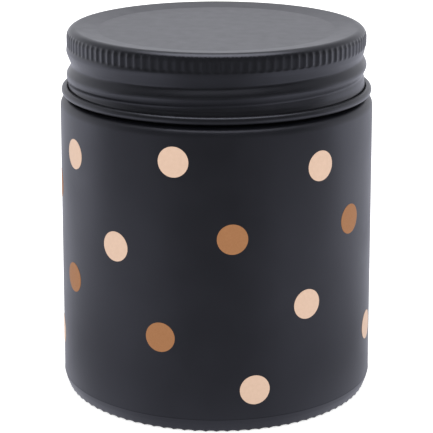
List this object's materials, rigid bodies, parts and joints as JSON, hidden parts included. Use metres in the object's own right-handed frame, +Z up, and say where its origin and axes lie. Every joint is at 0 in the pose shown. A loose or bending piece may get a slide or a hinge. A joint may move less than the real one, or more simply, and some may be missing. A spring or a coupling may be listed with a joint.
{
  "type": "candle jar",
  "caption": "Straight-sided glass candle jar coated matte black with scattered printed dots, a poured wick candle inside and a knurled metal screw lid.",
  "frame": {"origin": "centre of the bearing ring that the jar stands on", "axes": "+Z up along the jar's axis, -Y towards the front dots"},
  "size_m": [0.0754, 0.0754, 0.088],
  "materials": {
    "coated_glass": "satin black coating on glass",
    "blush_ink": "satin screen print",
    "copper_ink": "metallic screen print",
    "wax": "smooth soy wax",
    "cotton": "braided cotton",
    "paper": "paper core",
    "tinplate": "pressed tinplate",
    "adhesive_foam": "foam tape",
    "label_paper": "uncoated paper",
    "lid_metal": "matte black coating on tinplate",
    "liner_foam": "white foam"
  },
  "bodies": {
    "jar": {"glass_jar": "coated_glass", "blush_dots": "blush_ink", "copper_dots": "copper_ink", "wax": "wax", "wick_braid": "cotton", "wick_core": "paper", "wick_tab": "tinplate", "wick_sticker": "adhesive_foam", "base_label": "label_paper"},
    "liner": {"lid_liner": "liner_foam"},
    "lid": {"lid_shell": "lid_metal"}
  },
  "joints": [
    {"name": "lid_lift", "type": "slide", "parent": "jar", "child": "liner", "axis": [0, 0, 1], "range_m": [0, 0.0381]},
    {"name": "lid_turn", "type": "hinge", "parent": "liner", "child": "lid", "pos_m": [0, 0, 0.08], "axis": [0, 0, 1], "range_deg": [0, 3240]}
  ],
  "couplings": [
    {"joint": "lid_lift", "follows": "lid_turn", "m_per_rad": 0.00067376}
  ]
}
